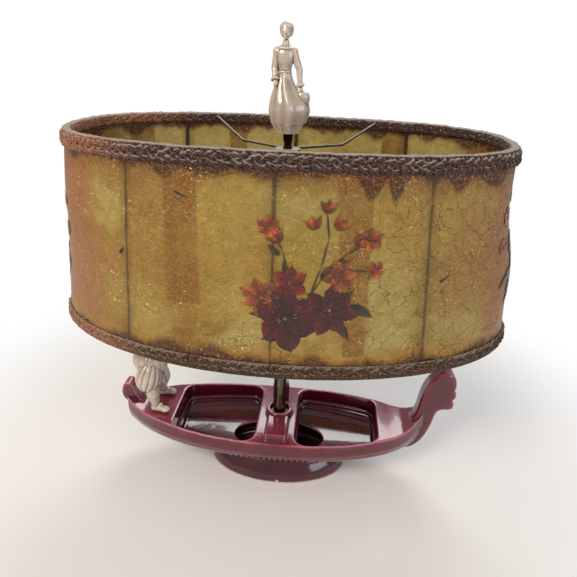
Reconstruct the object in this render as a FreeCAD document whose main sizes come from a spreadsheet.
# Gondola planter table lamp, in millimetres
# +X points to the prow, +Y away from the viewer, +Z up. The origin is under the stem, on the table.
import FreeCAD, Part

import os
from math import cos, pi, sin

import Sketcher

from FreeCAD import Matrix, Placement, Rotation, Vector

doc = FreeCAD.newDocument("GondolaLamp")
sheet = doc.addObject("Spreadsheet::Sheet", "Sizes")

# Driving dimensions: alias, value, what it is
DIMENSIONS = [
    # Gondola: hull and deck
    ("half_beam", 59.5, "half width of the deck amidships"),
    ("prow_reach", 192.0, "stem axis to where the deck narrows to nothing, forward"),
    ("stern_reach", 211.0, "stem axis to where the deck narrows to nothing, aft"),
    ("deck_height", 68.5, "table to the deck amidships"),
    ("sheer_rise", 4.0, "how far the deck rises at 150 mm from the stem"),
    ("prow_sweep", 21.0, "extra rise where the deck sweeps up into the prow"),
    ("stern_sweep", 9.0, "extra rise at the stern"),
    ("band_height", 18.0, "height of the upright band round the hull"),
    ("band_proud", 1.6, "how far the band stands out from the bottom of the hull"),
    ("keel_height", 26.0, "table to the underside of the hull amidships"),
    ("keel_rise", 30.0, "how far the underside rises at the ends"),
    ("rim_wall", 3.2, "wall between a well and the outside, at the deck"),
    ("hull_wall", 6.0, "thickness of the hull under the wells"),
    ("ledge_width", 2.6, "step inside the wells, level with the foot of the band"),
    # Gondola: wells
    ("left_well_end", 131.0, "stem axis to the far end of the left well"),
    ("right_well_end", 125.0, "stem axis to the far end of the right well"),
    ("bridge_half", 24.5, "half width of the thwart between the wells"),
    ("bridge_shift", 2.0, "how far the thwart's middle lies aft of the stem"),
    ("well_corner", 15.0, "corner radius of the wells"),
    # Gondola: foot
    ("foot_length", 176.0, "length of the foot where it stands"),
    ("foot_width", 104.0, "width of the foot where it stands"),
    ("neck_length", 140.0, "length of the foot's neck"),
    ("neck_width", 76.0, "width of the foot's neck"),
    ("neck_height", 36.0, "table to the top of the neck"),
    ("foot_floor", 8.0, "thickness of the floor of the foot"),
    ("foot_wall", 8.0, "wall of the foot round the deep part of the wells"),
    ("foot_line_height", 11.0, "height of the incised line round the foot"),
    ("seam_height", 24.0, "table to the level, below the hull, at which the base is parted in two solids"),
    # Gondola: bench, cup and seat back on the thwart
    ("bench_width", 25.0, "width of the bench"),
    ("bench_height", 77.0, "table to the top of the bench"),
    ("bench_reach", 52.0, "stem axis to the front edge of the bench's top"),
    ("bench_slope", 4.5, "how far the front of the bench leans out at its foot"),
    ("cup_outer", 32.0, "outside diameter of the cup round the stem"),
    ("cup_inner", 24.0, "inside diameter of the cup"),
    ("cup_height", 79.0, "table to the rim of the cup"),
    ("cup_floor", 73.0, "table to the floor of the cup"),
    ("back_width", 21.0, "width of the seat back"),
    ("back_thick", 6.0, "thickness of the seat back"),
    ("back_offset", 20.5, "stem axis to the middle of the seat back"),
    ("back_height", 100.0, "table to the top of the seat back"),
    ("post_height", 108.5, "table to the points of the corner posts"),
    ("post_width", 5.0, "width of a corner post"),
    # Gondola: prow, stern, pocket underneath and cord hole
    ("prow_thick", 21.0, "thickness of the prow"),
    ("prow_edge", 4.0, "rounding along the edge of the prow"),
    ("stern_thick", 17.0, "thickness of the stern knob"),
    ("pocket_length", 34.0, "size of the pocket under the thwart along the hull"),
    ("pocket_width", 62.0, "size of the pocket under the thwart across the hull"),
    ("pocket_ceiling", 57.0, "table to the ceiling of the pocket"),
    ("cord_hole", 11.0, "diameter of the cord hole at the back of the foot"),
    ("cord_hole_height", 13.0, "table to the middle of the cord hole"),
    ("cord_bore", 7.0, "bore of the bush that the cord goes through"),
    ("bush_flange", 1.5, "how far the bush's flange stands out from the foot"),
    ("bush_lip", 2.0, "how far the flange is wider than the hole, all round"),
    # Felt under the foot
    ("felt_thick", 1.5, "thickness of the felt"),
    ("felt_inset", 3.0, "edge of the foot to the edge of the felt"),
    ("felt_width", 14.0, "width of the ring of felt"),
    # Stem
    ("tube_outer", 15.9, "outside diameter of the stem tube"),
    ("tube_bore", 13.9, "bore of the stem tube"),
    ("pipe_outer", 9.7, "outside diameter of the lamp pipe"),
    ("pipe_bore", 6.6, "bore of the lamp pipe, for the flex"),
    ("pipe_gap", 0.25, "clearance round the lamp pipe"),
    ("washer_outer", 25.0, "diameter of the washer under the thwart"),
    ("washer_thick", 1.6, "thickness of the washers"),
    ("nut_flats", 14.3, "across the flats of the pipe nut"),
    ("nut_thick", 4.8, "thickness of the pipe nut"),
    ("pipe_tail", 3.0, "thread left showing below the nut"),
    ("seat_outer", 22.0, "diameter of the washer in the cup"),
    # Cluster and riser
    ("cluster_height", 258.0, "table to where the axes of the sockets meet"),
    ("cluster_outer", 26.0, "diameter of the cluster's hub"),
    ("cluster_drop", 15.0, "pivot of the sockets to the foot of the hub"),
    ("cluster_rise", 12.0, "pivot of the sockets to the top of the hub"),
    ("boss_outer", 17.0, "diameter of the boss on top of the hub"),
    ("boss_rise", 21.0, "pivot of the sockets to the top of the boss"),
    ("nozzle_outer", 13.0, "diameter of the cluster's arms"),
    ("nozzle_reach", 24.0, "pivot to the end of a cluster arm, where the socket cap sits"),
    ("nipple_length", 6.0, "thread at the end of a cluster arm"),
    ("pipe_hold", 11.0, "how far the lamp pipe goes into the cluster"),
    ("riser_hold", 10.0, "how far the riser goes into the cluster"),
    ("socket_tilt", 42.0, "lean of the sockets from upright, in degrees"),
    ("riser_outer", 9.5, "diameter of the riser"),
    ("riser_bore", 5.2, "bore of the riser"),
    ("riser_top", 404.0, "table to the shoulder that carries the shade"),
    ("riser_plug", 12.0, "solid length at the top of the riser, which carries the stud"),
    ("stud_outer", 5.2, "diameter of the stud for the finial"),
    ("stud_length", 13.0, "length of the stud above the shoulder"),
    ("riser_nut_thick", 5.0, "thickness of the nut under the riser"),
    # Sockets, in their own frame from the pivot upwards
    ("cap_length", 18.0, "length of the socket cap"),
    ("cap_outer", 34.4, "diameter of the socket cap"),
    ("cap_seat", 3.5, "width of the flat foot of the socket cap round the nipple"),
    ("cap_cone", 10.0, "height of the socket cap's cone"),
    ("sheet_wall", 0.8, "wall of the brass shells"),
    ("shell_outer", 32.4, "diameter of the socket shell"),
    ("shell_lap", 4.0, "how far the socket shell goes into its cap"),
    ("shell_length", 42.0, "length of the socket shell"),
    ("shell_bead", 1.6, "height of the bead round the shell's mouth"),
    ("fit_gap", 0.3, "running gap between parts"),
    ("liner_wall", 1.0, "wall of the paper liner"),
    ("liner_set", 3.0, "shell's mouth to the end of the liner"),
    ("interior_outer", 27.4, "diameter of the moulded interior"),
    ("interior_step", 1.0, "shell's foot to the foot of the moulded interior"),
    ("interior_length", 15.0, "length of the moulded interior"),
    ("interior_bevel", 2.0, "bevel round the foot of the moulded interior"),
    ("screw_bore", 26.6, "bore of the screw shell"),
    ("screw_wall", 0.4, "wall of the screw shell"),
    ("screw_length", 22.0, "length of the screw shell"),
    ("contact_outer", 7.0, "diameter of the centre contact"),
    ("contact_thick", 1.2, "thickness of the centre contact"),
    ("key_station", 9.0, "shell's foot to the axis of the turn key"),
    ("key_shaft", 4.0, "diameter of the key's shaft"),
    ("key_reach", 30.0, "socket axis to the end of the key"),
    ("key_width", 13.0, "width of the key's paddle"),
    ("key_thick", 3.2, "thickness of the key's paddle"),
    ("key_paddle", 10.5, "length of the key's paddle"),
    # Bulbs
    ("bulb_outer", 48.0, "diameter of the bulb"),
    ("bulb_cap_outer", 26.0, "diameter of the bulb's screw cap"),
    ("bulb_cap_length", 20.0, "length of the bulb's screw cap"),
    ("bulb_tip", 8.0, "diameter of the contact under the bulb"),
    ("bulb_tip_height", 1.5, "height of the contact under the bulb"),
    ("bulb_cone", 2.5, "height of the cone between the contact and the screw"),
    ("bulb_length", 89.0, "whole length of the bulb"),
    ("bulb_wall", 0.8, "thickness of the bulb's glass"),
    ("bulb_neck", 25.0, "diameter of the glass where it meets the cap"),
    # Shade
    ("top_length", 440.0, "length of the shade at its top"),
    ("top_width", 233.0, "width of the shade at its top"),
    ("top_square", 2.5, "squareness of the top oval, 2 is an ellipse"),
    ("bottom_length", 496.0, "length of the shade at its bottom"),
    ("bottom_width", 261.0, "width of the shade at its bottom"),
    ("bottom_square", 2.0, "squareness of the bottom oval"),
    ("shade_bottom", 217.5, "table to the bottom edge of the shade"),
    ("shade_height", 205.0, "height of the shade"),
    ("skin_thick", 1.2, "thickness of the fibre sheet"),
    ("ring_wire", 3.2, "diameter of the rings' wire"),
    ("rib_wire", 2.6, "diameter of the ribs' wire"),
    ("frame_gap", 0.25, "gap between the skin and the wires or the trim"),
    ("trim_height", 14.0, "height of the braided trims"),
    ("trim_thick", 2.4, "thickness of the braided trims"),
    ("rib_station", 132.0, "middle of the shade to the outer ribs, at the top"),
    ("rib_foot_station", 145.0, "middle of the shade to the outer ribs, at the bottom"),
    # Spider
    ("arm_wire", 2.8, "diameter of the spider's wire"),
    ("arm_spread", 97.0, "middle of the shade to where an arm meets the top ring"),
    ("arm_bend_share", 0.6, "share of the way out where an arm bends up"),
    ("arm_dip", 3.6, "how far an arm drops from the hub to its bend"),
    ("arm_bend_radius", 9.0, "radius of an arm's bend"),
    ("hub_outer", 26.0, "diameter of the spider's hub"),
    ("hub_thick", 2.0, "thickness of the spider's hub"),
    # Finial
    ("neck_head", 9.8, "diameter of the finial's neck under the figure"),
    ("neck_waist", 7.6, "smallest diameter of the finial's neck"),
    ("neck_foot", 9.6, "diameter of the finial's neck at the hub"),
    ("neck_collar", 1.2, "height of the collar at the foot of the neck"),
    ("neck_rise", 15.2, "length of the finial's neck"),
    ("skirt_half_width", 20.5, "widest half width of the lady's skirt"),
    ("skirt_height", 56.0, "height of the lady's skirt"),
    ("lady_height", 104.0, "height of the whole lady"),
    # Gondolier
    ("gondolier_x", -163.0, "middle of the gondolier's feet along the hull"),
    ("gondolier_height", 131.0, "height of the gondolier from the deck"),
]

sheet.set("A1", "Size")
sheet.set("B1", "Value")
sheet.set("C1", "Meaning")
for row, (alias, value, meaning) in enumerate(DIMENSIONS, start=2):
    sheet.set("A%d" % row, alias)
    sheet.set("B%d" % row, str(value))
    sheet.set("C%d" % row, meaning)
    sheet.setAlias("B%d" % row, alias)
doc.recompute()

parts = []
UP = Vector(0, 0, 1)


def size(alias):
    """Value of one cell of the sheet."""
    return float(sheet.get(alias))


def keep(piece, label):
    """Name a finished sub-part and list it for export."""
    piece.Label = label
    parts.append(piece)
    return piece


def bind(piece, **expressions):
    """Bind properties of an object to expressions over the sheet, in which S. means a cell."""
    for name, expression in expressions.items():
        piece.setExpression(name.replace("__", "."), expression.replace("S.", "Sizes."))
    return piece


def cylinder(name, radius, height, z=None):
    """Upright cylinder whose sizes are expressions, from height z where one is given."""
    piece = doc.addObject("Part::Cylinder", name)
    if z:
        bind(piece, Placement__Base__z=z)
    return bind(piece, Radius=radius, Height=height)


def cut(name, base, tool):
    """Base less tool, as a document boolean."""
    piece = doc.addObject("Part::Cut", name)
    piece.Base = base
    piece.Tool = tool
    return piece


def fuse(name, *shapes):
    """Several objects joined, as a document boolean."""
    piece = doc.addObject("Part::MultiFuse", name)
    piece.Shapes = list(shapes)
    return piece


def tube(name, outer, bore, length, z):
    """Upright tube between two diameters, from height z."""
    wall = cylinder(name + "_wall", outer + " / 2", length, z)
    hole = cylinder(name + "_hole", bore + " / 2", length + " + 2", z + " - 1")
    return cut(name, wall, hole)


def turned(name, corners):
    """Body turned about its own Z axis from a closed profile of (radius, height) expressions."""
    body = doc.addObject("PartDesign::Body", name)
    sketch = body.newObject("Sketcher::SketchObject", name + "_profile")
    plane = [item for item in body.Origin.OriginFeatures if item.Role == "XZ_Plane"][0]
    sketch.AttachmentSupport = [(plane, "")]
    sketch.MapMode = "FlatFace"
    formulas = [(radius.replace("S.", "Sizes."), height.replace("S.", "Sizes.")) for radius, height in corners]
    places = [Vector(*[float(sketch.evalExpression(formula)) for formula in pair], 0) for pair in formulas]
    count = len(places)
    for index in range(count):
        sketch.addGeometry(Part.LineSegment(places[index], places[(index + 1) % count]), False)
    for index in range(count):
        sketch.addConstraint(Sketcher.Constraint("Coincident", index, 2, (index + 1) % count, 1))
    for index, place in enumerate(places):
        if formulas[index][0] == "0":
            sketch.addConstraint(Sketcher.Constraint("PointOnObject", index, 1, -2))
        else:
            number = sketch.addConstraint(Sketcher.Constraint("DistanceX", -1, 1, index, 1, place.x))
            sketch.setExpression("Constraints[%d]" % number, formulas[index][0])
        number = sketch.addConstraint(Sketcher.Constraint("DistanceY", -1, 1, index, 1, place.y))
        sketch.setExpression("Constraints[%d]" % number, formulas[index][1])
    turn = body.newObject("PartDesign::Revolution", name + "_turn")
    turn.Profile = sketch
    turn.ReferenceAxis = (sketch, ["V_Axis"])
    turn.Angle = 360.0
    body.Tip = turn
    return body


def freeform(label, shape):
    """Sub-part whose shape no sketch or primitive gives."""
    piece = doc.addObject("Part::Feature", label)
    piece.Shape = shape
    piece.Placement = Placement()
    return keep(piece, label)


def smooth_edge(points):
    """One smooth open curve through points."""
    curve = Part.BSplineCurve()
    curve.interpolate(points)
    return curve.toShape()


def solid_of(shape):
    """The single solid of a boolean's result."""
    return shape.Solids[0] if len(shape.Solids) == 1 else shape


# Gondola hull

HULL_FULLNESS = 2.6
HULL_FINENESS = 0.9
SHEER_STATION = 150.0
SWEEP_LENGTH = 30.0
STERN_SWEEP_START = 168.0
STATIONS_FORWARD = (0.0, 0.21, 0.42, 0.57, 0.70, 0.785, 0.855, 0.905, 0.94)
STATIONS_AFT = (0.20, 0.38, 0.55, 0.69, 0.80, 0.88, 0.93)
QUARTER_STEPS = 5


def reach_at(x):
    return size("prow_reach") if x >= 0 else size("stern_reach")


def half_beam_at(x):
    """Half width of the deck."""
    share = min(abs(x) / reach_at(x), 0.999)
    return size("half_beam") * (1 - share ** HULL_FULLNESS) ** HULL_FINENESS


def sheer_at(x):
    """Height of the deck, which sweeps up at both ends."""
    height = size("deck_height") + size("sheer_rise") * (x / SHEER_STATION) ** 2
    if x > SHEER_STATION:
        height += size("prow_sweep") * ((x - SHEER_STATION) / SWEEP_LENGTH) ** 2
    if x < -STERN_SWEEP_START:
        height += size("stern_sweep") * ((-x - STERN_SWEEP_START) / SWEEP_LENGTH) ** 2
    return height


def keel_at(x):
    """Height of the underside on the centre line."""
    return size("keel_height") + size("keel_rise") * (abs(x) / reach_at(x)) ** 5


def hull_section(x, half, top, lip, keel, proud):
    """Closed cross-section: a rounded bottom, an upright band above it and a flat top."""
    edges = []
    bottom = {}
    for side in (1, -1):
        points = []
        for step in range(QUARTER_STEPS + 1):
            turn = pi / 2 * step / QUARTER_STEPS
            points.append(Vector(x, side * (half - proud) * sin(turn), lip - (lip - keel) * cos(turn)))
        bottom[side] = points
    edges.append(smooth_edge(bottom[1]))
    corner = bottom[1][-1]
    lower = Vector(x, half, lip)
    if proud > 0:
        edges.append(Part.LineSegment(corner, lower).toShape())
    edges.append(Part.LineSegment(lower, Vector(x, half, top)).toShape())
    edges.append(Part.LineSegment(Vector(x, half, top), Vector(x, -half, top)).toShape())
    lower = Vector(x, -half, lip)
    edges.append(Part.LineSegment(Vector(x, -half, top), lower).toShape())
    corner = bottom[-1][-1]
    if proud > 0:
        edges.append(Part.LineSegment(lower, corner).toShape())
    edges.append(smooth_edge(list(reversed(bottom[-1]))))
    return Part.Wire(edges)


def stations():
    aft = [-share * size("stern_reach") for share in reversed(STATIONS_AFT)]
    forward = [share * size("prow_reach") for share in STATIONS_FORWARD]
    return aft + forward


def outer_hull():
    """Outside of the hull with its upright band."""
    sections = []
    for x in stations():
        top = sheer_at(x)
        band = min(size("band_height"), 0.5 * (top - keel_at(x)))
        sections.append(hull_section(x, half_beam_at(x), top, top - band, keel_at(x), size("band_proud")))
    return Part.makeLoft(sections, True, False)


def inner_hull():
    """Space inside the hull: the floor of the wells follows the outside."""
    head_room = size("cup_height") - size("deck_height") + 10.0
    side_room = 1.0
    sections = []
    for x in stations():
        if half_beam_at(x) < 2.5 * size("hull_wall"):
            continue
        half = half_beam_at(x) - size("rim_wall") + side_room
        floor = keel_at(x) + size("hull_wall")
        lip = max(sheer_at(x) - size("band_height") + size("rim_wall"), floor + size("hull_wall"))
        sections.append(hull_section(x, half, sheer_at(x) + head_room, lip, floor, 0))
    return Part.makeLoft(sections, True, False)


def ellipse_wire(length, width, z):
    return Part.Wire([Part.Ellipse(Vector(0, 0, z), length / 2, width / 2).toShape()])


FOOT_STEPS = 9
LINE_WIDTH = 1.2
LINE_DEPTH = 0.8


def foot_draw(z):
    """Share by which the foot has drawn in to its neck at a height."""
    rise = (z - size("felt_thick")) / (size("neck_height") - size("felt_thick"))
    lip = 0.08
    if rise <= lip:
        return 0.0
    return 0.5 - 0.5 * cos(pi * min((rise - lip) / (1 - lip), 1.0))


def foot_wire(z, inset=0.0):
    """Outline of the foot at a height."""
    draw = foot_draw(z)
    length = size("foot_length") + draw * (size("neck_length") - size("foot_length"))
    width = size("foot_width") + draw * (size("neck_width") - size("foot_width"))
    return ellipse_wire(length - 2 * inset, width - 2 * inset, z)


def foot():
    """Flared foot, which runs up into the hull, with its incised line."""
    low, high = size("felt_thick"), size("neck_height")
    line = size("foot_line_height")
    rows = [(low + (high - low) * step / FOOT_STEPS, 0.0) for step in range(FOOT_STEPS + 1)]
    rows = [row for row in rows if abs(row[0] - line) > LINE_WIDTH]
    rows += [(line - LINE_WIDTH / 2, 0.0), (line, LINE_DEPTH), (line + LINE_WIDTH / 2, 0.0)]
    wires = [foot_wire(z, inset) for z, inset in sorted(rows)]
    into_hull = 8.0
    wires.append(ellipse_wire(size("neck_length"), size("neck_width"), high + into_hull))
    return Part.makeLoft(wires, True, True)


def deep_part():
    """Deep middle of the wells, where they run down into the foot."""
    floor_round = 5.0
    into_foot = 8.0
    wall = size("foot_wall")
    floor = size("felt_thick") + size("foot_floor")
    base_length = 0.5 * (size("foot_length") + size("neck_length")) - 2 * wall
    base_width = 0.5 * (size("foot_width") + size("neck_width")) - 2 * wall
    neck_length = size("neck_length") - 2 * wall
    neck_width = size("neck_width") - 2 * wall
    wires = [
        ellipse_wire(base_length - 3 * floor_round, base_width - 3 * floor_round, floor),
        ellipse_wire(base_length - floor_round, base_width - floor_round, floor + floor_round),
        ellipse_wire(neck_length, neck_width, size("neck_height") - into_foot),
        ellipse_wire(neck_length, neck_width, size("deck_height")),
    ]
    return Part.makeLoft(wires, True, False)


def well_prism(near, far, inset, bottom, top):
    """Upright prism of a well: its long sides follow the deck's edge."""
    steps = 8
    front = []
    for step in range(steps + 1):
        x = near + (far - near) * step / steps
        front.append(Vector(x, -(half_beam_at(x) - size("rim_wall") - inset), bottom))
    back = [Vector(point.x, -point.y, point.z) for point in reversed(front)]
    edges = [
        smooth_edge(front),
        Part.LineSegment(front[-1], back[0]).toShape(),
        smooth_edge(back),
        Part.LineSegment(back[-1], front[0]).toShape(),
    ]
    prism = Part.Face(Part.Wire(edges)).extrude(Vector(0, 0, top - bottom))
    upright = [edge for edge in prism.Edges if abs(edge.BoundBox.ZLength - (top - bottom)) < 0.01]
    return prism.makeFillet(size("well_corner") - inset, upright)


def well(near, far):
    """One well: upright sides, a ledge level with the foot of the band, and a rounded floor."""
    top = size("deck_height") + 30.0
    ledge = size("deck_height") - size("band_height")
    middle = 0.5 * (near + far)
    ledge_inset = size("ledge_width")
    sign = 1 if middle > 0 else -1
    upper = well_prism(near, far, 0.0, ledge, top)
    lower = well_prism(near + sign * ledge_inset, far - sign * ledge_inset, ledge_inset, 2.0, ledge + 1.0)
    space = inner_hull().fuse(deep_part())
    return upper.fuse(lower).common(space)


def prow():
    """Upright prow plate with a rolled top and three lobes down its front, drawn from the end of the deck."""
    half = size("prow_thick") / 2

    def at(ahead, above):
        return Vector(size("prow_reach") + ahead, -half, size("deck_height") + above)

    back = smooth_edge([at(-42, -2.5), at(-29, 7.5), at(-22, 22.5), at(-19, 41.5), at(-15, 60.5),
                        at(-8, 74.5), at(2, 83.5), at(12, 85.3), at(20, 76.5), at(21, 67.5)])
    lobes = [((21, 67.5), (20.4, 65.1), (18.6, 64.1)), ((18.6, 64.1), (22.6, 56), (18.6, 47.7)),
             ((18.6, 47.7), (21.8, 41.5), (19, 35.3))]
    edges = [back]
    for start, middle, end in lobes:
        edges.append(Part.Arc(at(*start), at(*middle), at(*end)).toShape())
    edges.append(smooth_edge([at(19, 35.3), at(12, 33.9), at(5.5, 32.3), at(2, 27), at(0.2, 17.5),
                              at(-3, 3.5), at(-9, -12.5), at(-17, -23.5), at(-30, -30)]))
    edges.append(Part.LineSegment(at(-30, -30), at(-42, -30)).toShape())
    edges.append(Part.LineSegment(at(-42, -30), at(-42, -2.5)).toShape())
    plate = Part.Face(Part.Wire(edges)).extrude(Vector(0, 2 * half, 0))
    longest = sorted([edge for edge in plate.Edges if edge.BoundBox.YLength < 0.01],
                     key=lambda edge: edge.Length)[-4:]
    rolled = [edge for edge in longest if edge.BoundBox.ZMax > at(0, 70).z]
    return plate.makeFillet(size("prow_edge"), rolled)


def stern():
    """Low upturned stern with a rounded knob, drawn from the end of the deck."""
    half = size("stern_thick") / 2

    def at(inboard, above):
        return Vector(inboard - size("stern_reach"), -half, size("deck_height") + above)

    outline = [
        smooth_edge([at(51, 1.5), at(39, 4.5), at(30, 11.5), at(25, 23.5), at(20, 32.5)]),
        Part.Arc(at(20, 32.5), at(14, 35), at(9, 30.5)).toShape(),
        smooth_edge([at(9, 30.5), at(7, 22.5), at(8, 13.5), at(14, 7.5)]),
        smooth_edge([at(14, 7.5), at(19, -0.5), at(24, -11.5), at(31, -20.5), at(43, -26.5)]),
        Part.LineSegment(at(43, -26.5), at(51, -26.5)).toShape(),
        Part.LineSegment(at(51, -26.5), at(51, 1.5)).toShape(),
    ]
    return Part.Face(Part.Wire(outline)).extrude(Vector(0, 2 * half, 0))


ROOT_DEPTH = 6.0


def box(x0, x1, y0, y1, z0, z1):
    return Part.makeBox(x1 - x0, y1 - y0, z1 - z0, Vector(x0, y0, z0))


def bench():
    """Bench on the thwart, with a leaning front that has an inset panel."""
    half = size("bench_width") / 2
    root = size("deck_height") - ROOT_DEPTH
    top = size("bench_height")
    front = -size("bench_reach")
    lean = size("bench_slope")
    profile = Part.makePolygon([Vector(-half, front - lean, root), Vector(-half, front, top), Vector(-half, 0, top),
                                Vector(-half, 0, root), Vector(-half, front - lean, root)])
    seat = Part.Face(profile).extrude(Vector(2 * half, 0, 0))
    panel_side = 3.0
    panel_foot, panel_head = 1.5, 2.4
    panel_depth = 1.2
    panel = box(-half + panel_side, half - panel_side, front - lean - 1, front - lean / 2 + panel_depth,
                size("deck_height") + panel_foot, top - panel_head)
    return seat.cut(panel)


def seat_back():
    """Seat back behind the stem with a pointed post at each corner."""
    half = size("back_width") / 2
    front = size("back_offset") - size("back_thick") / 2
    rear = front + size("back_thick")
    root = size("deck_height") - ROOT_DEPTH
    dip = 5.0
    post = size("post_width")
    outline = [(-half, root), (-half, size("back_height")), (-half + post / 2, size("post_height")),
               (-half + post, size("back_height")), (0, size("back_height") - dip)]
    outline += [(-x, z) for x, z in reversed(outline[:-1])]
    points = [Vector(x, front, z) for x, z in outline]
    return Part.Face(Part.makePolygon(points + points[:1])).extrude(Vector(0, rear - front, 0))


def cord_passage():
    """Hole from the pocket out through the back of the foot."""
    height = Vector(0, 0, size("cord_hole_height"))
    return Part.makeCylinder(size("cord_hole") / 2, size("foot_width"), height, Vector(0, 1, 0))


def wells():
    """Both wells, each down into the foot."""
    return [well(-size("bridge_half") - size("bridge_shift"), -size("left_well_end")),
            well(size("bridge_half") - size("bridge_shift"), size("right_well_end"))]


def pocket():
    """Pocket under the thwart, open to the table."""
    space = box(-size("pocket_length") / 2, size("pocket_length") / 2,
                -size("pocket_width") / 2, size("pocket_width") / 2, -1.0, size("pocket_ceiling"))
    pocket_corner = 6.0
    corners = [edge for edge in space.Edges if edge.BoundBox.ZLength > size("pocket_ceiling")]
    return space.makeFillet(pocket_corner, corners)


def below_seam():
    """Space under the level at which the casting is parted in two solids."""
    return box(-size("foot_length"), size("foot_length"), -size("foot_width"), size("foot_width"),
               0, size("seam_height"))


def gondola():
    """Glazed casting from the seam up, with the hole that the stem needs."""
    body = outer_hull().fuse([foot().cut(below_seam()), prow(), stern()])
    for space in wells():
        body = body.cut(space)
    cup = Part.makeCylinder(size("cup_outer") / 2, size("cup_height") - size("deck_height") + ROOT_DEPTH,
                            Vector(0, 0, size("deck_height") - ROOT_DEPTH))
    body = body.fuse([bench(), seat_back(), cup])
    hollow = Part.makeCylinder(size("cup_inner") / 2, size("post_height"), Vector(0, 0, size("cup_floor")))
    bore = Part.makeCylinder(size("pipe_outer") / 2 + size("pipe_gap"), size("post_height"))
    body = body.cut([hollow.cut(seat_back()), bore, pocket()])
    return solid_of(body.removeSplitter())


def gondola_foot():
    """The same casting below the seam, with the hole that the cord needs."""
    body = foot().common(below_seam())
    for space in wells() + [pocket(), cord_passage()]:
        body = body.cut(space)
    return solid_of(body)


freeform("gondola_base", gondola())
freeform("gondola_foot", gondola_foot())


# Felt ring and cord bush

def felt_ring():
    outer_length = size("foot_length") - 2 * size("felt_inset")
    outer_width = size("foot_width") - 2 * size("felt_inset")
    hole_length = outer_length - 2 * size("felt_width")
    hole_width = outer_width - 2 * size("felt_width")
    ring = Part.Face(ellipse_wire(outer_length, outer_width, 0)).extrude(Vector(0, 0, size("felt_thick")))
    hole = Part.Face(ellipse_wire(hole_length, hole_width, -1)).extrude(Vector(0, 0, size("felt_thick") + 2))
    return ring.cut(hole)


freeform("felt_pad", felt_ring())

def cord_bush():
    """Bush in the cord hole: a sleeve in the wall of the foot with a flange outside."""
    height = size("cord_hole_height")
    outside = foot_wire(height).BoundBox.YMax
    inside = size("pocket_width") / 2
    stand = size("bush_flange")
    along = Vector(0, 1, 0)
    sleeve = Part.makeCylinder(size("cord_hole") / 2 - size("frame_gap"), outside - inside + stand,
                               Vector(0, inside, height), along)
    flange = Part.makeCylinder(size("cord_hole") / 2 + size("bush_lip"), 2 * stand,
                               Vector(0, outside + size("fit_gap"), height), along)
    bore = Part.makeCylinder(size("cord_bore") / 2, size("foot_width"), Vector(0, 0, height), along)
    return sleeve.fuse(flange).cut(bore).cut(foot().cut(cord_passage()))


freeform("cord_grommet", cord_bush())


# Stem: pipe, washers, nut and sleeve tube

clear_pipe = "(S.pipe_outer + 2 * S.pipe_gap)"
cluster_foot = "(S.cluster_height - S.cluster_drop)"
boss_top = "(S.cluster_height + S.boss_rise)"
riser_foot = "(S.cluster_height + S.boss_rise - S.riser_hold)"
nut_top = "(S.pocket_ceiling - S.washer_thick)"
pipe_foot = "(S.pocket_ceiling - S.washer_thick - S.nut_thick - S.pipe_tail)"

keep(tube("washer_under", "S.washer_outer", clear_pipe, "S.washer_thick", nut_top), "pipe_washer")


def hex_nut(name, flats, bore, thick, z):
    """Six-sided nut."""
    blank = doc.addObject("Part::Prism", name + "_blank")
    blank.Polygon = 6
    bind(blank, Circumradius=flats + " / 2 / cos(30)", Height=thick, Placement__Base__z=z)
    hole = cylinder(name + "_bore", bore + " / 2", thick + " + 2", z + " - 1")
    return cut(name, blank, hole)


keep(hex_nut("nut_under", "S.nut_flats", "(S.pipe_outer + 2 * S.frame_gap)", "S.nut_thick",
             nut_top + " - S.nut_thick"), "pipe_nut")
keep(tube("pipe", "S.pipe_outer", "S.pipe_bore", cluster_foot + " + S.pipe_hold - " + pipe_foot, pipe_foot),
     "lamp_pipe")
keep(tube("washer_seat", "S.seat_outer", clear_pipe, "S.washer_thick", "S.cup_floor"), "tube_seat_washer")
keep(tube("sleeve", "S.tube_outer", "S.tube_bore", cluster_foot + " - S.cup_floor - S.washer_thick",
          "S.cup_floor + S.washer_thick"), "stem_tube")


# Two-arm cluster

def socket_place(side):
    """Where a socket's own frame stands: side is -1 on the left and 1 on the right."""
    return Placement(Vector(0, 0, size("cluster_height")), Rotation(Vector(0, 1, 0), side * size("socket_tilt")))


def cluster():
    """Hub with two leaning arms, each ending in a nipple for a socket."""
    hub = cylinder("cluster_hub", "S.cluster_outer / 2", "S.cluster_drop + S.cluster_rise", cluster_foot)
    boss = cylinder("cluster_boss", "S.boss_outer / 2", "S.boss_rise", "S.cluster_height")
    solids, holes = [hub, boss], []
    for side, word in ((-1, "left"), (1, "right")):
        arm = cylinder("cluster_arm_" + word, "S.nozzle_outer / 2", "S.nozzle_reach")
        nipple = cylinder("cluster_nipple_" + word, "S.pipe_outer / 2", "S.nozzle_reach + S.nipple_length")
        way = cylinder("cluster_way_" + word, "S.pipe_bore / 2", "S.nozzle_reach + S.nipple_length")
        for piece in (arm, nipple):
            piece.Placement = socket_place(side)
        clear_of_other = Placement(Vector(0, 0, 0.7 * size("pipe_bore")), Rotation())
        way.Placement = socket_place(side).multiply(clear_of_other)
        solids += [arm, nipple]
        holes.append(way)
    below = cylinder("cluster_bore", clear_pipe + " / 2", "S.pipe_hold + 1", cluster_foot + " - 1")
    above = cylinder("cluster_socket", "S.riser_outer / 2 + S.pipe_gap", "S.riser_hold + 1", riser_foot)
    through = cylinder("cluster_through", "S.riser_bore / 2", "S.cluster_drop + S.boss_rise", cluster_foot)
    body = fuse("cluster_solid", *solids)
    for hole in [below, above, through] + holes:
        body = cut("less_" + hole.Name, body, hole)
    return body


keep(cluster(), "cluster_body")

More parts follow.
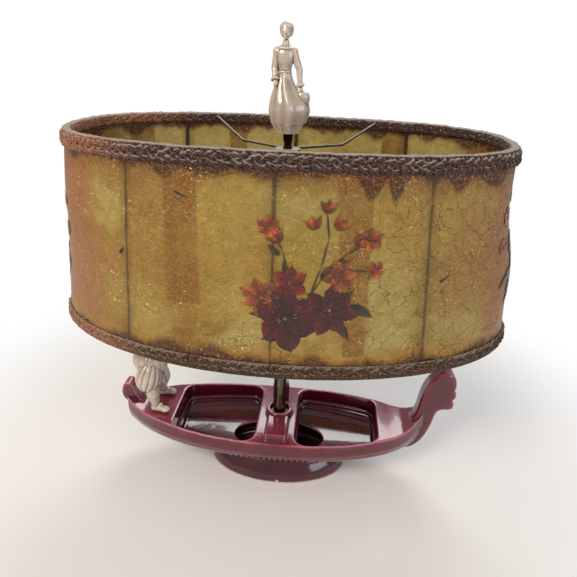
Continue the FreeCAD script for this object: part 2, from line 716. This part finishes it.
keep(hex_nut("nut_riser", "S.nut_flats", "(S.riser_outer + 2 * S.frame_gap)", "S.riser_nut_thick", boss_top),
     "riser_nut")


def riser():
    """Thin tube up to the shade, closed by a shoulder with the finial's stud."""
    wall = cylinder("riser_wall", "S.riser_outer / 2", "S.riser_top - " + riser_foot, riser_foot)
    stud = cylinder("riser_stud", "S.stud_outer / 2", "S.stud_length + 1", "S.riser_top - 1")
    bore = cylinder("riser_hole", "S.riser_bore / 2", "S.riser_top - S.riser_plug - " + riser_foot, riser_foot)
    return cut("riser", fuse("riser_solid", wall, stud), bore)


keep(riser(), "riser_tube")


# Sockets and bulbs, each made upright and then leaned out on its arm

cap_foot = "S.nozzle_reach"
cap_top = "(S.nozzle_reach + S.cap_length)"
shell_foot = "(S.nozzle_reach + S.cap_length - S.shell_lap)"
shell_mouth = "(%s + S.shell_length)" % shell_foot
key_axis = "(%s + S.key_station)" % shell_foot
interior_foot = "(%s + S.interior_step)" % shell_foot
interior_top = "(%s + S.interior_length)" % interior_foot


def seat(piece, side, label):
    """Lean a finished piece out on its arm and name it."""
    piece.Placement = socket_place(side)
    return keep(piece, label)


def holed(word, name, body):
    """A turned body with the key's hole through its front wall."""
    hole = doc.addObject("Part::Cylinder", "%s_key_hole_%s" % (name, word))
    hole.Placement = Placement(Vector(0, -size("key_shaft"), 0), Rotation(Vector(1, 0, 0), 90))
    bind(hole, Radius="S.key_shaft / 2 + S.fit_gap", Height="S.key_reach", Placement__Base__z=key_axis)
    return cut("%s_%s" % (name, word), body, hole)


def socket(side, word):
    """Cap, shell, liner, moulded interior, screw shell and centre contact of one socket."""
    hole = clear_pipe + " / 2"
    rim = "S.cap_outer / 2"
    seat(turned("cap_" + word, [
        (hole, cap_foot), ("S.pipe_outer / 2 + S.cap_seat", cap_foot), (rim, cap_foot + " + S.cap_cone"),
        (rim, cap_top), (rim + " - S.sheet_wall", cap_top),
        (rim + " - S.sheet_wall", cap_foot + " + S.cap_cone + S.sheet_wall / 2"),
        ("S.pipe_outer / 2 + S.cap_seat - S.sheet_wall / 2", cap_foot + " + S.sheet_wall"),
        (hole, cap_foot + " + S.sheet_wall"),
    ]), side, "socket_cap_" + word)
    outer = "S.shell_outer / 2"
    inner = outer + " - S.sheet_wall"
    shell = turned("shell_turned_" + word, [
        (inner, shell_foot), (outer, shell_foot), (outer, shell_mouth + " - 1.4 * S.shell_bead"),
        (outer + " + S.sheet_wall", shell_mouth + " - S.shell_bead"), (outer + " + S.sheet_wall", shell_mouth),
        (inner, shell_mouth),
    ])
    seat(holed(word, "shell", shell), side, "socket_shell_" + word)
    paper = "(S.shell_outer / 2 - S.sheet_wall - S.frame_gap)"
    liner_top = shell_mouth + " - S.liner_set"
    liner = turned("liner_turned_" + word, [
        (paper + " - S.liner_wall", shell_foot + " + S.liner_wall"), (paper, shell_foot + " + S.liner_wall"),
        (paper, liner_top), (paper + " - S.liner_wall", liner_top),
    ])
    seat(holed(word, "liner", liner), side, "socket_liner_" + word)
    moulding = turned("interior_turned_" + word, [
        ("0", interior_foot), ("S.interior_outer / 2 - S.interior_bevel", interior_foot),
        ("S.interior_outer / 2", interior_foot + " + S.interior_bevel"), ("S.interior_outer / 2", interior_top),
        ("0", interior_top),
    ])
    seat(holed(word, "interior", moulding), side, "socket_interior_" + word)
    screw = "S.screw_bore / 2"
    screw_top = interior_top + " + S.screw_length"
    seat(turned("screw_" + word, [
        (screw, interior_top), (screw + " + S.screw_wall", interior_top),
        (screw + " + S.screw_wall", screw_top), (screw, screw_top),
    ]), side, "screw_shell_" + word)
    contact_top = interior_top + " + S.contact_thick"
    seat(turned("contact_" + word, [
        ("0", interior_top), ("S.contact_outer / 2", interior_top), ("S.contact_outer / 2", contact_top),
        ("0", contact_top),
    ]), side, "centre_contact_" + word)


def turn_key(side, word):
    """Key of a socket: a shaft through the shell and a flat paddle."""
    shaft = doc.addObject("Part::Cylinder", "key_shaft_" + word)
    shaft.Placement = Placement(Vector(0, -size("key_shaft") - size("fit_gap"), 0), Rotation(Vector(1, 0, 0), 90))
    bind(shaft, Radius="S.key_shaft / 2", Height="S.key_reach - S.key_paddle - S.key_shaft",
         Placement__Base__z=key_axis)
    paddle = doc.addObject("Part::Box", "key_paddle_" + word)
    bind(paddle, Length="S.key_width", Width="S.key_paddle", Height="S.key_thick",
         Placement__Base__x="-S.key_width / 2", Placement__Base__y="-S.key_reach",
         Placement__Base__z=key_axis + " - S.key_thick / 2")
    doc.recompute()
    rounded = doc.addObject("Part::Fillet", "key_rounded_" + word)
    rounded.Base = paddle
    edges = [index for index, edge in enumerate(paddle.Shape.Edges, start=1) if edge.BoundBox.ZLength > 0.01]
    corner = 0.35 * min(size("key_paddle"), size("key_width"))
    rounded.Edges = [(index, corner, corner) for index in edges]
    seat(fuse("key_" + word, shaft, rounded), side, "turn_key_" + word)


def bulb(side, word):
    """Bulb screwed home: its metal cap and its glass."""
    foot_at = "(%s + S.contact_thick + S.fit_gap)" % interior_top
    glass_foot = foot_at + " + S.bulb_cap_length"
    seat(turned("bulb_base_" + word, [
        ("0", foot_at), ("S.bulb_tip / 2", foot_at), ("S.bulb_tip / 2", foot_at + " + S.bulb_tip_height"),
        ("S.bulb_cap_outer / 2", foot_at + " + S.bulb_tip_height + S.bulb_cone"),
        ("S.bulb_cap_outer / 2", glass_foot), ("0", glass_foot),
    ]), side, "bulb_cap_" + word)
    centre = foot_at + " + S.bulb_length - S.bulb_outer / 2"
    globes, necks = [], []
    for word_part, less in (("outer", "0"), ("inner", "S.bulb_wall")):
        globe = doc.addObject("Part::Sphere", "globe_%s_%s" % (word_part, word))
        bind(globe, Radius="S.bulb_outer / 2 - " + less, Placement__Base__z=centre)
        neck = doc.addObject("Part::Cone", "neck_%s_%s" % (word_part, word))
        bind(neck, Radius1="S.bulb_neck / 2 - " + less, Radius2="0.9 * (S.bulb_outer / 2 - %s)" % less,
             Height="S.bulb_length - S.bulb_cap_length - 0.7 * S.bulb_outer", Placement__Base__z=glass_foot)
        globes.append(globe)
        necks.append(neck)
    outside = fuse("bulb_outside_" + word, globes[0], necks[0])
    inside = fuse("bulb_inside_" + word, globes[1], necks[1])
    seat(cut("bulb_" + word, outside, inside), side, "bulb_glass_" + word)


for side, word in ((-1, "left"), (1, "right")):
    socket(side, word)
    turn_key(side, word)
    bulb(side, word)


# Shade: ovals, skin, wires and trims

OVAL_POINTS = 32


def oval_point(z, inset, turn):
    """Point of the shade's oval at a height, a distance inside the skin's outer face."""
    share = (z - size("shade_bottom")) / size("shade_height")
    length = size("bottom_length") + share * (size("top_length") - size("bottom_length"))
    width = size("bottom_width") + share * (size("top_width") - size("bottom_width"))
    power = 2.0 / (size("bottom_square") + share * (size("top_square") - size("bottom_square")))
    across, along = cos(turn), sin(turn)
    x = (length / 2 - inset) * abs(across) ** power * (1 if across > 0 else -1)
    y = (width / 2 - inset) * abs(along) ** power * (1 if along > 0 else -1)
    return Vector(x, y, z)


def oval(z, inset):
    """Closed oval as one smooth curve, on which the same share of the way is the same turn at any height."""
    points = [oval_point(z, inset, 2 * pi * step / OVAL_POINTS) for step in range(OVAL_POINTS)]
    shares = [step / OVAL_POINTS for step in range(OVAL_POINTS + 1)]
    curve = Part.BSplineCurve()
    curve.interpolate(Points=points, PeriodicFlag=True, Parameters=shares)
    return Part.Wire([curve.toShape()])


def oval_wall(low, high, inset):
    """Solid between two heights within an oval."""
    return Part.makeLoft([oval(low, inset), oval(high, inset)], True, True)


def shade_top():
    return size("shade_bottom") + size("shade_height")


def skin():
    spare = 5.0
    outside = oval_wall(size("shade_bottom"), shade_top(), 0.0)
    inside = oval_wall(size("shade_bottom") - spare, shade_top() + spare, size("skin_thick"))
    return outside.cut(inside)


def trim(top):
    """Braid round one rim: it lies on the skin and turns over the edge as far as the wire."""
    gap = size("frame_gap")
    thick = size("trim_thick")
    inner = size("skin_thick") + 2 * gap + size("ring_wire")
    spare = 5.0
    if top:
        low, high = shade_top() - size("trim_height"), shade_top() + gap + thick
        bed = oval_wall(low - spare, shade_top() + gap, -gap)
    else:
        low, high = size("shade_bottom") - gap - thick, size("shade_bottom") + size("trim_height")
        bed = oval_wall(size("shade_bottom") - gap, high + spare, -gap)
    outside = oval_wall(low, high, -gap - thick)
    opening = oval_wall(low - 2 * spare, high + 2 * spare, inner)
    return outside.cut([bed, opening])


def wire_inset():
    return size("skin_thick") + size("frame_gap")


def rod(path, wire):
    """Round wire along a path."""
    start = path.Edges[0]
    at = start.valueAt(start.FirstParameter)
    along = start.tangentAt(start.FirstParameter)
    section = Part.Wire([Part.Circle(at, along, wire / 2).toShape()])
    return Part.Wire(path.Edges).makePipeShell([section], True, True)


def ring(z):
    return rod(oval(z, wire_inset() + size("ring_wire") / 2), size("ring_wire"))


freeform("shade_skin", skin())
freeform("trim_top", trim(True))
freeform("trim_bottom", trim(False))
freeform("shade_top_ring", ring(shade_top() - size("ring_wire") / 2))
freeform("shade_bottom_ring", ring(size("shade_bottom") + size("ring_wire") / 2))


def rib(name, foot_turn, head_turn):
    """Upright wire of the frame, from ring to ring."""
    clear = size("ring_wire") + size("frame_gap")
    inset = wire_inset() + size("rib_wire") / 2
    low = oval_point(size("shade_bottom") + clear, inset, foot_turn)
    high = oval_point(shade_top() - clear, inset, head_turn)
    piece = doc.addObject("Part::Cylinder", name)
    bind(piece, Radius="S.rib_wire / 2")
    piece.Height = (high - low).Length
    piece.Placement = Placement(low, Rotation(UP, high - low))
    keep(piece, name)


def turn_at(x, z):
    """Angle on the oval at which it has reached x."""
    low, high = 0.0, pi / 2
    for _ in range(60):
        middle = 0.5 * (low + high)
        if oval_point(z, 0.0, middle).x > x:
            low = middle
        else:
            high = middle
    return low


foot_turn = turn_at(size("rib_foot_station"), size("shade_bottom"))
head_turn = turn_at(size("rib_station"), shade_top())
rib("rib_right_end", 0.0, 0.0)
rib("rib_back_right", foot_turn, head_turn)
rib("rib_back_middle", pi / 2, pi / 2)
rib("rib_back_left", pi - foot_turn, pi - head_turn)
rib("rib_left_end", pi, pi)
rib("rib_front_left", pi + foot_turn, pi + head_turn)
rib("rib_front_middle", 3 * pi / 2, 3 * pi / 2)
rib("rib_front_right", 2 * pi - foot_turn, 2 * pi - head_turn)


# Spider

def bent_path(start, bend, end, radius):
    """Two straight runs joined by a tangent arc."""
    back = (start - bend).normalize()
    ahead = (end - bend).normalize()
    half_turn = back.getAngle(ahead) / 2
    reach = radius / (sin(half_turn) / cos(half_turn))
    first = bend + back * reach
    last = bend + ahead * reach
    inward = (back + ahead).normalize()
    middle = bend + inward * (radius / sin(half_turn) - radius)
    return Part.Wire([Part.LineSegment(start, first).toShape(), Part.Arc(first, middle, last).toShape(),
                      Part.LineSegment(last, end).toShape()])


hub_place = "(S.riser_top + S.frame_gap)"
hub_middle = size("riser_top") + size("frame_gap") + size("hub_thick") / 2
keep(tube("spider", "S.hub_outer", "(S.stud_outer + 2 * S.fit_gap)", "S.hub_thick", hub_place), "spider_hub")


def spider_arm(name, x_side, y_side):
    """Wire from the hub to the top ring, bent up near the rim."""
    ring_z = shade_top() - size("ring_wire") / 2
    inset = wire_inset() + size("ring_wire") + size("arm_wire") / 2
    rim = oval_point(ring_z, inset, turn_at(size("arm_spread"), ring_z))
    rim = Vector(x_side * rim.x, y_side * rim.y, rim.z)
    out = Vector(rim.x, rim.y, 0).normalize()
    share = size("arm_bend_share")
    bend = Vector(rim.x * share, rim.y * share, hub_middle - size("arm_dip"))
    start = Vector(0, 0, hub_middle) + out * (size("hub_outer") / 2 + size("frame_gap"))
    freeform(name, rod(bent_path(start, bend, rim, size("arm_bend_radius")), size("arm_wire")))


for name, x_side, y_side in (("arm_back_left", -1, 1), ("arm_back_right", 1, 1),
                             ("arm_front_left", -1, -1), ("arm_front_right", 1, -1)):
    spider_arm(name, x_side, y_side)


# Finial: turned neck and the lady

neck_foot_at = "(S.riser_top + S.hub_thick + 2 * S.frame_gap)"
neck_bore = "S.stud_outer / 2 + S.frame_gap"
stud_end = "(S.riser_top + S.stud_length + S.fit_gap)"
keep(turned("finial_shank", [
    (neck_bore, neck_foot_at), ("S.neck_foot / 2", neck_foot_at),
    ("S.neck_foot / 2", neck_foot_at + " + S.neck_collar"),
    ("S.neck_waist / 2", neck_foot_at + " + 2 * S.neck_collar"),
    ("S.neck_waist / 2", neck_foot_at + " + 0.27 * S.neck_rise"),
    ("S.neck_head / 2", neck_foot_at + " + 0.6 * S.neck_rise"),
    ("S.neck_head / 2", neck_foot_at + " + S.neck_rise"), ("0", neck_foot_at + " + S.neck_rise"),
    ("0", stud_end), (neck_bore, stud_end),
]), "finial_neck")


def ellipsoid(centre, radii, axis=UP, angle=0.0):
    """Egg-shaped solid of three radii, turned about an axis."""
    stretch = Matrix()
    stretch.scale(Vector(*radii))
    shape = Part.makeSphere(1.0).transformGeometry(stretch)
    shape.rotate(Vector(), axis, angle)
    shape.translate(Vector(*centre))
    return shape


def limb(start, end, start_radius, end_radius):
    """Tapered limb with round ends."""
    start, end = Vector(*start), Vector(*end)
    along = end - start
    shape = Part.makeCone(start_radius, end_radius, along.Length, start, along)
    swell = 1.03
    return shape.fuse([Part.makeSphere(start_radius * swell, start), Part.makeSphere(end_radius * swell, end)])


def stack(rows):
    """Loft through ellipses: rows of height, middle x, middle y, half width and half depth."""
    wires = []
    for z, x, y, wide, deep in rows:
        centre = Vector(x, y, z)
        if wide >= deep:
            curve = Part.Ellipse(centre, wide, deep)
        else:
            curve = Part.Ellipse(centre, deep, wide)
            curve.rotate(Placement(centre, Rotation(UP, 90), Vector(0, 0, 0)))
        wires.append(Part.Wire([curve.toShape()]))
    return Part.makeLoft(wires, True, False)


def joined(solids):
    first, rest = solids[0], solids[1:]
    return solid_of(first.fuse(rest))


def lady():
    """Lady in a long gathered skirt, one hand at her skirt and a muff on the other side."""
    foot_z = size("riser_top") + size("hub_thick") + 2 * size("frame_gap") + size("neck_rise")
    wide = size("skirt_half_width")
    tall = size("skirt_height")
    top = size("lady_height")

    def up(share):
        return foot_z + share * tall

    skirt = stack([
        (up(0.0), 0.0, 0, 0.56 * wide, 0.50 * wide), (up(0.07), 0.0, 0, 0.66 * wide, 0.58 * wide),
        (up(0.16), -0.5, 0, 0.78 * wide, 0.68 * wide), (up(0.36), 0.0, 0, wide, 0.86 * wide),
        (up(0.50), -0.8, 0, 0.93 * wide, 0.80 * wide), (up(0.66), -3.5, 0, 0.68 * wide, 0.60 * wide),
        (up(0.80), -4.8, 0, 0.45 * wide, 0.42 * wide), (up(1.0), -4.8, 0, 0.29 * wide, 0.26 * wide),
    ])
    rise = top - tall

    def high(share):
        return foot_z + tall + share * rise

    middle = -4.8
    bodice = stack([
        (high(-0.04), middle, 0, 5.6, 5.0), (high(0.14), middle, -0.5, 7.2, 5.8),
        (high(0.28), middle, -0.8, 8.4, 6.4), (high(0.40), middle, 0, 8.8, 5.0), (high(0.47), middle, 0.3, 4.0, 3.6),
        (high(0.56), middle, 0.3, 2.9, 2.9),
    ])
    head = ellipsoid((middle + 0.3, -0.6, high(0.70)), (6.0, 6.6, 7.6))
    hair = ellipsoid((middle + 0.3, 1.2, high(0.78)), (7.0, 7.2, 6.8))
    bun = ellipsoid((middle + 0.3, 6.0, high(0.84)), (4.6, 4.4, 4.4))
    muff = ellipsoid((12.0, -2.0, up(0.57)), (7.6, 7.2, 7.4))
    shoulder_left, shoulder_right = (middle - 7.4, 0, high(0.36)), (middle + 7.4, 0, high(0.36))
    elbow_left, elbow_right = (middle - 10.2, -2.0, high(0.06)), (middle + 11.0, -2.5, high(0.12))
    hand_left, hand_right = (middle - 7.6, -6.5, up(0.84)), (9.0, -3.0, up(0.72))
    return joined([
        skirt, bodice, head, hair, bun, muff,
        limb(shoulder_left, elbow_left, 3.6, 2.7), limb(elbow_left, hand_left, 2.7, 2.3),
        limb(shoulder_right, elbow_right, 3.6, 2.7), limb(elbow_right, hand_right, 2.7, 2.3),
    ])


freeform("finial_figure", lady())


# Gondolier on the stern deck

FIGURE_DRAWN = 131.0


def gondolier():
    """Standing oarsman in gathered breeches, feet apart, hands forward, drawn for a height of 131."""
    x = size("gondolier_x")
    tall = size("gondolier_height")
    unit = tall / FIGURE_DRAWN
    ground = sheer_at(x) + size("frame_gap")

    def at(dx, y, share):
        return (x + dx * unit, y * unit, ground + share * tall)

    def bone(start, end, start_radius, end_radius):
        return limb(at(*start), at(*end), start_radius * unit, end_radius * unit)

    def form(centre, *radii):
        return ellipsoid(at(*centre), [radius * unit for radius in radii])

    def rings(*rows):
        return stack([(ground + share * tall, x + dx * unit, -unit, wide * unit, deep * unit)
                      for share, dx, wide, deep in rows])

    near_ankle, far_ankle = (7, -18, 0.045), (6, 16, 0.045)
    near_knee, far_knee = (2, -15, 0.31), (9, 9, 0.27)
    near_elbow, far_elbow = (8, -15, 0.66), (6, 12, 0.66)
    solids = [
        bone(near_ankle, near_knee, 6.2, 8.8), bone(far_ankle, far_knee, 6.0, 8.2),
        form((16, -20, 0.028), 9.5, 5.6, 4.2), form((14, 17, 0.028), 9.0, 5.4, 4.2),
        form((-10, -13, 0.385), 16.5, 12.5, 13.5), form((10, 8, 0.33), 12.5, 11.0, 12.0),
        form((-2, -3, 0.50), 21.0, 15.5, 17.0),
        rings((0.56, -3, 15.5, 12.0), (0.62, -4, 12.0, 9.5), (0.72, -5, 13.5, 10.0), (0.79, -6, 13.0, 9.0),
              (0.83, -6, 5.5, 5.0), (0.87, -6, 4.2, 4.2)),
        form((-5, -1, 0.915), 7.6, 7.0, 8.6),
        rings((0.945, -5, 11.5, 10.5), (0.962, -5, 11.5, 10.5), (0.965, -5, 7.6, 7.2), (1.0, -5, 7.0, 6.6)),
        bone((-2, -11, 0.76), near_elbow, 4.6, 4.0), bone(near_elbow, (22, -8, 0.70), 4.0, 3.2),
        bone((-6, 9, 0.76), far_elbow, 4.6, 4.0), bone(far_elbow, (20, 4, 0.68), 4.0, 3.2),
    ]
    return joined(solids).cut(outer_hull())


freeform("gondolier_figure", gondolier())


# Checks, then one STEP file for each sub-part

doc.recompute()
for piece in doc.Objects:
    bad = [state for state in piece.State if state in ("Invalid", "Error")]
    if bad:
        raise SystemExit("%s: %s" % (piece.Name, bad))
for piece in parts:
    if piece.Shape.isNull() or not piece.Shape.isValid() or not piece.Shape.Solids:
        raise SystemExit("%s has no valid shape" % piece.Label)

os.makedirs("parts", exist_ok=True)
for piece in parts:
    piece.Shape.exportStep("parts/%s.step" % piece.Label)
print("%d parts" % len(parts))
